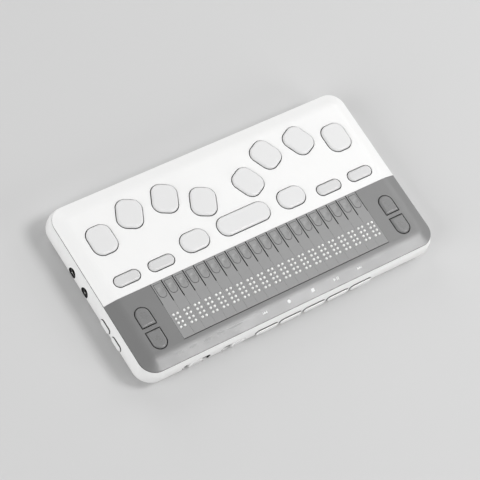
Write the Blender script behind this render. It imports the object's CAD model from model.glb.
import math

import bpy
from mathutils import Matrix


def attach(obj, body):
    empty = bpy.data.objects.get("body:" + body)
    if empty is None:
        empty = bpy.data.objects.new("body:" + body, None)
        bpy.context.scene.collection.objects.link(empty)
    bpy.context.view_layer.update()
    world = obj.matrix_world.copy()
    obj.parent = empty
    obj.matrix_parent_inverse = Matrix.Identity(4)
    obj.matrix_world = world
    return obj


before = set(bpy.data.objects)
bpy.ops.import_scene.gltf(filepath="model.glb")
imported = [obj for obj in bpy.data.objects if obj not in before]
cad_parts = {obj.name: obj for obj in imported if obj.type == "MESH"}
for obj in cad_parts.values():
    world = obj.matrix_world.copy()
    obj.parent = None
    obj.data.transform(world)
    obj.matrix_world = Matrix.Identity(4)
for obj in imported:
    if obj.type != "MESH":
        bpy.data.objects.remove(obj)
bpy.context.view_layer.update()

# The table and the studio light. The display lies flat on a pale table top and is seen from
# above its front left corner through a long lens. A soft box high on the right shines in the
# front slope, and paler ones on the other sides fill the walls.
MM = 0.001
CAMERA_AT = (-0.50192, -0.29880, 0.90500)
CAMERA_TURN = (29.154, -15.876, -33.163)
FOCAL_LENGTH = 158.72
SENSOR = 36.0
NEAREST = 0.01
SKY_GREY = (0.86, 0.86, 0.86)
SKY_LIGHT = 0.22
SOFT_BOXES = {
    "right_box": {"at": (0.56, -0.32, 1.00), "size": 0.4, "watts": 6.6},
    "far_box": {"at": (0.95, 0.30, 0.80), "size": 0.8, "watts": 3.4},
    "left_box": {"at": (-1.10, -0.10, 0.55), "size": 0.8, "watts": 8.5},
    "front_box": {"at": (0.62, -1.02, 0.40), "size": 0.6, "watts": 4.4},
    "back_box": {"at": (0.00, 1.10, 0.60), "size": 0.8, "watts": 4.4},
}
TABLE_GREY = (0.60, 0.60, 0.60)
TABLE_HALF = 4.0
TABLE_CORNERS = ((-1, -1), (1, -1), (1, 1), (-1, 1))
TABLE_CLOUD = 160
TABLE_MOTTLE = 0.015
TABLE_ROUGHNESS = 0.8
TABLE_GLOSS = 0.2

scene = bpy.context.scene
scene.view_settings.view_transform = "Standard"

lens = bpy.data.cameras.new("lens")
lens.lens = FOCAL_LENGTH
lens.sensor_width = SENSOR
lens.clip_start = NEAREST
camera = bpy.data.objects.new("camera", lens)
camera.location = CAMERA_AT
camera.rotation_euler = [math.radians(turn) for turn in CAMERA_TURN]
scene.collection.objects.link(camera)
scene.camera = camera

for name, box in SOFT_BOXES.items():
    lamp = bpy.data.lights.new(name, "AREA")
    lamp.shape = "SQUARE"
    lamp.size = box["size"]
    lamp.energy = box["watts"]
    holder = bpy.data.objects.new(name, lamp)
    holder.location = box["at"]
    holder.rotation_euler = (-holder.location).to_track_quat("-Z", "Y").to_euler()
    scene.collection.objects.link(holder)

world = bpy.data.worlds.new("studio")
world.use_nodes = True
sky = world.node_tree.nodes["Background"]
sky.inputs["Color"].default_value = (*SKY_GREY, 1)
sky.inputs["Strength"].default_value = SKY_LIGHT
scene.world = world


class Wire:
    """One socket of a shader, so that shader maths reads as plain arithmetic."""

    # A Mix node has sockets for each kind of value, and these are its sockets for colours.
    MIX_FIRST, MIX_SECOND, MIX_RESULT = 6, 7, 2

    def __init__(self, tree, socket=None):
        self.tree = tree
        self.socket = socket

    def node(self, kind, settings, inputs, output=0):
        made = self.tree.nodes.new(kind)
        for setting, value in settings.items():
            setattr(made, setting, value)
        for key, value in inputs.items():
            if isinstance(value, Wire):
                self.tree.links.new(value.socket, made.inputs[key])
            else:
                made.inputs[key].default_value = value
        return Wire(self.tree, made.outputs[output])

    def maths(self, operation, left, right):
        return self.node("ShaderNodeMath", {"operation": operation}, {0: left, 1: right})

    def __add__(self, other):
        return self.maths("ADD", self, other)

    def __radd__(self, other):
        return self.maths("ADD", other, self)

    def __sub__(self, other):
        return self.maths("SUBTRACT", self, other)

    def __rsub__(self, other):
        return self.maths("SUBTRACT", other, self)

    def __mul__(self, other):
        return self.maths("MULTIPLY", self, other)

    def __rmul__(self, other):
        return self.maths("MULTIPLY", other, self)

    def noise(self, grain, detail=2):
        """Noise over this place, whose lumps are about grain millimetres across."""
        return self.node("ShaderNodeTexNoise", {},
                         {"Vector": self, "Scale": 1 / (grain * MM), "Detail": detail})

    def between(self, first, second):
        """A colour that goes from first to second as this value goes from 0 to 1."""
        ends = [c if isinstance(c, Wire) else (*c, 1) for c in (first, second)]
        return self.node("ShaderNodeMix", {"data_type": "RGBA"},
                         {0: self, self.MIX_FIRST: ends[0], self.MIX_SECOND: ends[1]},
                         self.MIX_RESULT)

    def shades(self, colour, low, high):
        """A colour that goes from low to high times its brightness with this value."""
        return self.between(*[[min(1.0, factor * c) for c in colour] for factor in (low, high)])

    def beyond(self, axis, level):
        """1 where this place lies further along the axis than level millimetres, otherwise 0."""
        along = self.node("ShaderNodeSeparateXYZ", {}, {0: self}, axis)
        return self.maths("GREATER_THAN", along, level * MM)

    def within(self, axis, low, high):
        return self.beyond(axis, low) - self.beyond(axis, high)

    def into(self, shader, name):
        self.tree.links.new(self.socket, shader.inputs[name])

    def relief(self, shader, strength, depth):
        """Lets this value stand on the surface as a relief of depth millimetres."""
        self.node("ShaderNodeBump", {}, {"Strength": strength, "Distance": depth * MM,
                                         "Height": self}).into(shader, "Normal")


def new_finish(name):
    """A new material, its shader, and the place on the object that is being shaded."""
    material = bpy.data.materials.new(name)
    material.use_nodes = True
    shader = material.node_tree.nodes["Principled BSDF"]
    place = Wire(material.node_tree).node("ShaderNodeTexCoord", {}, {}, "Object")
    return material, shader, place


def table_top(name, colour):
    material, shader, place = new_finish(name)
    cloud = place.noise(TABLE_CLOUD, 3)
    cloud.shades(colour, 1 - TABLE_MOTTLE, 1 + TABLE_MOTTLE).into(shader, "Base Color")
    shader.inputs["Roughness"].default_value = TABLE_ROUGHNESS
    shader.inputs["Specular IOR Level"].default_value = TABLE_GLOSS
    return material


table_mesh = bpy.data.meshes.new("table")
table_mesh.from_pydata([(sx * TABLE_HALF, sy * TABLE_HALF, 0) for sx, sy in TABLE_CORNERS],
                       [], [range(len(TABLE_CORNERS))])
table_mesh.materials.append(table_top("table_paint", TABLE_GREY))
table = bpy.data.objects.new("table", table_mesh)
scene.collection.objects.link(table)

# The tub of the case. It is injection moulded in white plastic with a fine spark-eroded texture
# on the walls and floor. The joint under the shells, the wells of the edge buttons, the floors
# of the switch recesses and the mouths of the two jacks are painted black.
WHITE = (0.845, 0.845, 0.84)
WELL_BLACK = (0.015, 0.015, 0.015)
JOINT_Z = 13.6
WELL_Z = (5.5, 9.6)
FRONT_WELLS = ((-71, 48), (-50.2, -48))
LEFT_WELLS = ((-91.8, -89), (-30, -9))
JACKS = {"headphone_sleeve": 17.6, "microphone_sleeve": 5.7}
JACK_Z = 7.4
JACK_MOUTH_R = 2.9
JACK_END_X = -80
FLECK_GRAINS = 4
FLOW_GRAINS = 30
FLOW_SHARE = 0.7
FLOW_ROUGHNESS = 0.12
PIT_ROUGHNESS = 0.1
PIT_STRENGTH = 0.5
FINGER_SPOT = (0.5, 0.5, 1.0)
FINGER_REACH = (0.15, 0.6)


def tub_wells(place):
    wells = place.beyond("Z", JOINT_Z)
    for across, back in (FRONT_WELLS, LEFT_WELLS):
        wells += (place.within("X", *across) * place.within("Y", *back)
                  * place.within("Z", *WELL_Z))
    on_wall = place.node("ShaderNodeVectorMath", {"operation": "MULTIPLY"},
                         {0: place, 1: (0, 1, 1)})
    for y in JACKS.values():
        reach = place.node("ShaderNodeVectorMath", {"operation": "DISTANCE"},
                           {0: on_wall, 1: (0, y * MM, JACK_Z * MM)}, "Value")
        mouth = place.maths("LESS_THAN", reach, JACK_MOUTH_R * MM)
        wells += mouth * (1 - place.beyond("X", JACK_END_X))
    return wells


def moulded_plastic(name, colour, roughness, grain, depth, mottle=0.02, polish=0.0, gloss=0.5,
                    black=None):
    """Textured plastic: fine pits, faint flow marks, and a middle that fingers have polished.
    The function black tells where the plastic is black, such as the skirt of a two-shot cap."""
    material, shader, place = new_finish(name)
    pits = place.noise(grain)
    flow = place.noise(FLOW_GRAINS * grain, 3)
    fleck = place.noise(FLECK_GRAINS * grain, 1)
    tone = flow * FLOW_SHARE + fleck * (1 - FLOW_SHARE)
    paint = tone.shades(colour, 1 - mottle, 1 + mottle)
    if black:
        paint = black(place).between(paint, WELL_BLACK)
    paint.into(shader, "Base Color")
    shader.inputs["Specular IOR Level"].default_value = gloss
    rough = roughness + FLOW_ROUGHNESS * (flow - 0.5) + PIT_ROUGHNESS * (pits - 0.5)
    if polish:
        in_box = place.node("ShaderNodeTexCoord", {}, {}, "Generated")
        off_spot = place.node("ShaderNodeVectorMath", {"operation": "DISTANCE"},
                              {0: in_box, 1: FINGER_SPOT}, "Value")
        near, far = FINGER_REACH
        rough -= place.node("ShaderNodeMapRange", {},
                            {"Value": off_spot, "From Min": near, "From Max": far,
                             "To Min": polish, "To Max": 0.0})
    rough.into(shader, "Roughness")
    pits.relief(shader, PIT_STRENGTH, depth)
    return material


def dress(material, *names):
    for name in names:
        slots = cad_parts[name].data.materials
        slots.clear()
        slots.append(material)


dress(moulded_plastic("tub_white", WHITE, roughness=0.42, grain=0.35, depth=0.02,
                      black=tub_wells), "bottom_case")

# The four feet are rubber buttons glued into round seats in the floor of the tub.
# They are cut from matt black sheet and pick up a little dust.
RUBBER = (0.03, 0.03, 0.032)
RUBBER_ROUGHNESS = 0.78
CRUMB = 0.25
DUST = 2.5
DUST_PALER = 4


def matt_rubber(name, colour):
    material, shader, place = new_finish(name)
    crumb = place.noise(CRUMB, 4)
    dust = place.noise(DUST, 3)
    (dust * crumb).shades(colour, 1, DUST_PALER).into(shader, "Base Color")
    (RUBBER_ROUGHNESS + 0.2 * (dust - 0.5)).into(shader, "Roughness")
    crumb.relief(shader, strength=0.7, depth=0.04)
    return material


dress(matt_rubber("foot_rubber_black", RUBBER), "rubber_feet")

# The main board lies on pads on the floor and the key board on posts above it. Both are
# glass-fibre boards under green lacquer, whose copper tracks show as paler lines. The switches
# soldered on top of them have black bodies.
LACQUER = (0.015, 0.12, 0.05)
LACQUER_ROUGHNESS = 0.28
TRACK = (0.05, 0.24, 0.09)
TRACK_PITCH = 2.4
TRACK_WIDTH = 0.06
TRACK_SHARE = 0.8
WEAVE = 0.6
MAIN_TOP_Z = 4.0
KEY_BOARD_TOP_Z = 11.4
ABOVE_BOARD = 0.02


def lacquered_board(name, top):
    material, shader, place = new_finish(name)
    tracks = place.node("ShaderNodeTexBrick", {"offset": 0.5},
                        {"Vector": place, "Scale": 1 / (TRACK_PITCH * MM),
                         "Mortar Size": TRACK_WIDTH, "Mortar": (1, 1, 1, 1),
                         "Color1": (0, 0, 0, 1), "Color2": (0, 0, 0, 1)})
    weave = place.noise(WEAVE, 3)
    lines = tracks * TRACK_SHARE + weave * (1 - TRACK_SHARE)
    switches = place.beyond("Z", top + ABOVE_BOARD)
    switches.between(lines.between(LACQUER, TRACK), WELL_BLACK).into(shader, "Base Color")
    (LACQUER_ROUGHNESS + 0.2 * weave).into(shader, "Roughness")
    lines.relief(shader, strength=0.6, depth=0.05)
    return material


dress(lacquered_board("main_lacquer", MAIN_TOP_Z), "main_board")
dress(lacquered_board("key_lacquer", KEY_BOARD_TOP_Z), "key_board")

# The battery is a flat pouch cell in crinkled aluminium foil. It lies on the floor of the tub
# between two moulded rails.
FOIL = (0.62, 0.63, 0.66)
FOIL_METALLIC = 0.9
FOIL_ROUGHNESS = 0.3
CREASE = 7
HAZE = 3


def pouch_foil(name, colour):
    material, shader, place = new_finish(name)
    crease = place.node("ShaderNodeTexVoronoi", {"feature": "DISTANCE_TO_EDGE"},
                        {"Vector": place, "Scale": 1 / (CREASE * MM)})
    haze = place.noise(HAZE, 4)
    haze.shades(colour, 0.88, 1.08).into(shader, "Base Color")
    (FOIL_ROUGHNESS + 0.25 * haze).into(shader, "Roughness")
    shader.inputs["Metallic"].default_value = FOIL_METALLIC
    crease.relief(shader, strength=0.4, depth=0.2)
    return material


dress(pouch_foil("battery_pouch", FOIL), "battery_pack")

# The two audio jacks and the charging socket are soldered to the wings of the main board and
# the two speakers are glued over the slots in the floor. Their housings are black nylon, the
# charging socket has a folded steel shell, and a nickel sleeve lines the bore of each jack.
NYLON = (0.02, 0.02, 0.022)
NYLON_ROUGHNESS = 0.5
SHELL_STEEL = (0.50, 0.50, 0.51)
SHELL_SMOOTHER = 0.18
HOUSING_GRAIN = 0.25
CHARGING_Y = 12.0
CHARGING_Z = 5.6
TONGUE_HALF_W = 3.4
TONGUE_HALF_T = 0.4
NICKEL = (0.72, 0.71, 0.69)
NICKEL_ROUGHNESS = 0.25
BRUSHING = 0.3
JACK_MOUTH_X = -91.2
# Radius and depth of the sleeve's section, from its back round the flared mouth to the outside
SLEEVE_SECTION = ((1.79, 4.0), (1.77, 4.0), (1.77, 0.25), (1.785, 0.1), (1.795, 0.1))
SLEEVE_STEPS = 48


def socket_housings(name):
    material, shader, place = new_finish(name)
    grain = place.noise(HOUSING_GRAIN, 3)
    tongue = (place.within("Y", CHARGING_Y - TONGUE_HALF_W, CHARGING_Y + TONGUE_HALF_W)
              * place.within("Z", CHARGING_Z - TONGUE_HALF_T, CHARGING_Z + TONGUE_HALF_T))
    shell = place.beyond("X", 0) * (1 - tongue)
    nylon = grain.shades(NYLON, 0.8, 1.3)
    steel = grain.shades(SHELL_STEEL, 0.9, 1.1)
    shell.between(nylon, steel).into(shader, "Base Color")
    shell.into(shader, "Metallic")
    rough = NYLON_ROUGHNESS - SHELL_SMOOTHER * shell + 0.1 * (grain - 0.5)
    rough.into(shader, "Roughness")
    grain.relief(shader, strength=0.5, depth=0.015)
    return material


def plated_metal(name, colour, roughness):
    material, shader, place = new_finish(name)
    brushing = place.noise(BRUSHING, 3)
    brushing.shades(colour, 0.85, 1.05).into(shader, "Base Color")
    (roughness + 0.2 * (brushing - 0.5)).into(shader, "Roughness")
    shader.inputs["Metallic"].default_value = 1.0
    return material


def new_piece(name, points, faces, material):
    """A mesh piece of the fixed body, from points in millimetres."""
    mesh = bpy.data.meshes.new(name)
    mesh.from_pydata([[c * MM for c in p] for p in points], [], faces)
    mesh.materials.append(material)
    piece = bpy.data.objects.new(name, mesh)
    scene.collection.objects.link(piece)
    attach(piece, "chassis")
    return piece


dress(socket_housings("socket_nylon"), "side_sockets")
dress(moulded_plastic("speaker_nylon", NYLON, NYLON_ROUGHNESS, grain=0.2, depth=0.015,
                      mottle=0.15), "speakers")
nickel = plated_metal("sleeve_nickel", NICKEL, NICKEL_ROUGHNESS)
rows = len(SLEEVE_SECTION)
for name, y in JACKS.items():
    points, faces = [], []
    for step in range(SLEEVE_STEPS):
        turn = math.tau * step / SLEEVE_STEPS
        here, there = rows * step, rows * ((step + 1) % SLEEVE_STEPS)
        for k, (r, depth) in enumerate(SLEEVE_SECTION):
            beside = (k + 1) % rows
            points.append((JACK_MOUTH_X + depth, y + r * math.cos(turn),
                           JACK_Z + r * math.sin(turn)))
            faces.append((here + k, there + k, there + beside, here + beside))
    sleeve = new_piece(name, points, faces, nickel)
    for face in sleeve.data.polygons:
        face.use_smooth = True

# The braille line: twenty cells of grey plastic, side by side in the window of the panel.
# Each cell lifts eight white nylon pins, with a routing key behind them. The sides of the cells
# and the skirts of the keys are black.
CELLS = 20
CELL_GREY = (0.285, 0.285, 0.285)
PIN_WHITE = (0.90, 0.90, 0.89)
TOP_Z = 16.2
CELL_EDGE = 0.1
ROUTING_EDGE = 0.05


def skirt_below(edge):
    """Says that a piece is black from edge millimetres under the top of the case downwards."""
    return lambda place: 1 - place.beyond("Z", TOP_Z - edge)


dress(moulded_plastic("cell_grey", CELL_GREY, roughness=0.45, grain=0.3, depth=0.015,
                      mottle=0.03, black=skirt_below(CELL_EDGE)), "braille_cells")
dress(moulded_plastic("pin_nylon", PIN_WHITE, roughness=0.3, grain=0.15, depth=0.006,
                      mottle=0.015), "braille_pins")
dress(moulded_plastic("routing_grey", CELL_GREY, roughness=0.4, grain=0.3, depth=0.012,
                      mottle=0.03, polish=0.1, black=skirt_below(ROUTING_EDGE)),
      *[f"routing_key_{n:02d}" for n in range(1, CELLS + 1)])

# The braille panel is the grey front half of the top, moulded in satin plastic. White signs for
# the media buttons and a mark for each place of the two switches are printed on its front
# slope, and the four scroll keys sit in its ends.
GREY = (0.18, 0.18, 0.18)
SCROLL_GREY = (0.21, 0.21, 0.21)
CAP_EDGE = 0.1
SIGN_WHITE = (0.80, 0.80, 0.80)
MARK_GREY = (0.34, 0.34, 0.34)
INK_FINISH = {"roughness": 0.55, "grain": 0.1, "depth": 0.004, "mottle": 0.04}
INK = 0.03
SLOPE_FOOT_Y = -48.8
SLOPE_FOOT_Z = 14.3
SLOPE_SIN = 0.28
SLOPE_COS = 0.96
SIGN_UP = 3.85
MARK_UP = 4.3
MARK_W = 3.2
MARK_H = 0.7
MARKS = (-69.3, -61.4, -53.4, -45.3, -38.6, -34.1)
DISC_STEPS = 32


def bar(x, w, h):
    return [(x - w / 2, -h / 2), (x + w / 2, -h / 2), (x + w / 2, h / 2), (x - w / 2, h / 2)]


def arrow(base, tip, h):
    outline = [(base, -h / 2), (tip, 0), (base, h / 2)]
    return outline if tip > base else outline[::-1]


def disc(r):
    turns = [math.tau * step / DISC_STEPS for step in range(DISC_STEPS)]
    return [(r * math.cos(turn), r * math.sin(turn)) for turn in turns]


# Where each sign stands along the slope, and the outlines that it is made of
SIGNS = {
    "sign_previous": (-18.5, [bar(-1.25, 0.2, 1.3), arrow(0.1, -1.1, 1.3), arrow(1.3, 0.1, 1.3)]),
    "sign_record": (-3.6, [disc(0.95)]),
    "sign_stop": (11.3, [bar(0, 1.8, 1.8)]),
    "sign_play": (26.2, [arrow(-1.7, -0.2, 1.6), bar(0.5, 0.35, 1.6), bar(1.3, 0.35, 1.6)]),
    "sign_next": (41.1, [arrow(-1.3, -0.1, 1.3), arrow(-0.1, 1.1, 1.3), bar(1.25, 0.2, 1.3)]),
}


def on_slope(x, up, lift):
    return (x, SLOPE_FOOT_Y + up * SLOPE_COS - lift * SLOPE_SIN,
            SLOPE_FOOT_Z + up * SLOPE_SIN + lift * SLOPE_COS)


def print_on_slope(name, x, up, shapes, ink):
    """Raised ink on the front slope: each flat outline becomes a thin closed plate."""
    points, faces = [], []
    for outline in shapes:
        count = len(outline)
        low, high = len(points), len(points) + count
        points += [on_slope(x + u, up + v, lift) for lift in (-INK, INK) for u, v in outline]
        faces.append([high + k for k in range(count)])
        faces.append([low + k for k in reversed(range(count))])
        for k in range(count):
            beside = (k + 1) % count
            faces.append((low + k, low + beside, high + beside, high + k))
    new_piece(name, points, faces, ink)


dress(moulded_plastic("panel_grey", GREY, roughness=0.37, grain=0.35, depth=0.012, mottle=0.03,
                      gloss=0.9), "braille_panel")
dress(moulded_plastic("scroll_grey", SCROLL_GREY, roughness=0.36, grain=0.35, depth=0.012,
                      mottle=0.03, polish=0.1, black=skirt_below(CAP_EDGE)),
      *[f"{hand}_scroll_{way}" for hand in ("left", "right") for way in ("up", "down")])
sign_ink = moulded_plastic("sign_ink", SIGN_WHITE, **INK_FINISH)
for name, (x, shapes) in SIGNS.items():
    print_on_slope(name, x, SIGN_UP, shapes, sign_ink)
print_on_slope("switch_marks", 0, MARK_UP, [bar(x, MARK_W, MARK_H) for x in MARKS],
               moulded_plastic("mark_ink", MARK_GREY, **INK_FINISH))

# The key cover is the white back half of the top, moulded in the same plastic as the tub with
# an opening for each key. It laps over the back edge of the panel.
dress(moulded_plastic("cover_white", WHITE, roughness=0.4, grain=0.35, depth=0.015), "top_cover")

# The keyboard: eight dot keys, a space bar between two wide keys, and four function keys. The
# caps are moulded in pale grey with black skirts, a shade darker for the function keys, and
# lips under the cover keep them in.
CAP_GREY = (0.735, 0.735, 0.735)
FUNCTION_GREY = (0.65, 0.65, 0.65)
CAP_FINISH = {"roughness": 0.42, "grain": 0.3, "depth": 0.015, "mottle": 0.015, "polish": 0.1,
              "black": skirt_below(CAP_EDGE)}
dress(moulded_plastic("cap_grey", CAP_GREY, **CAP_FINISH),
      *[f"dot_key_{n}" for n in range(1, 9)], "space_key", "control_key", "alt_key")
dress(moulded_plastic("function_grey", FUNCTION_GREY, **CAP_FINISH),
      *[f"function_key_{n}" for n in range(1, 5)])

# The edge controls are white pills in the front and left walls: five media buttons, two volume
# buttons and two slide switches with ribbed knobs. They are moulded in the plastic of the tub
# and held by flanges behind the wall. A black band runs round each button where it comes out.
BUTTON_BAND_Y = -50.7
BUTTON_BAND_X = -92.3
EDGE_FINISH = {"roughness": 0.38, "grain": 0.3, "depth": 0.012, "polish": 0.08}


def button_sides(place):
    return place.beyond("Y", BUTTON_BAND_Y) * place.beyond("X", BUTTON_BAND_X)


dress(moulded_plastic("button_white", WHITE, black=button_sides, **EDGE_FINISH),
      *[f"{name}_button" for name in ("previous", "record", "stop", "play", "next",
                                      "volume_up", "volume_down")])
dress(moulded_plastic("knob_white", WHITE, **EDGE_FINISH), "lock_switch", "mode_switch")

# Six case screws of turned and plated steel come up through the floor and pull the two shells
# down on the tub.
STEEL = (0.55, 0.55, 0.56)
STEEL_ROUGHNESS = 0.25
RING_PITCH = 0.6
STAIN = 1.2


def turned_steel(name, colour):
    material, shader, place = new_finish(name)
    turning = place.node("ShaderNodeTexWave", {"wave_type": "RINGS", "rings_direction": "Z"},
                         {"Vector": place, "Scale": 1 / (RING_PITCH * MM), "Distortion": 2.0})
    stain = place.noise(STAIN, 3)
    stain.shades(colour, 0.8, 1.1).into(shader, "Base Color")
    (STEEL_ROUGHNESS + 0.15 * turning + 0.1 * stain).into(shader, "Roughness")
    shader.inputs["Metallic"].default_value = 1.0
    return material


dress(turned_steel("screw_steel_bright", STEEL), "case_screws")
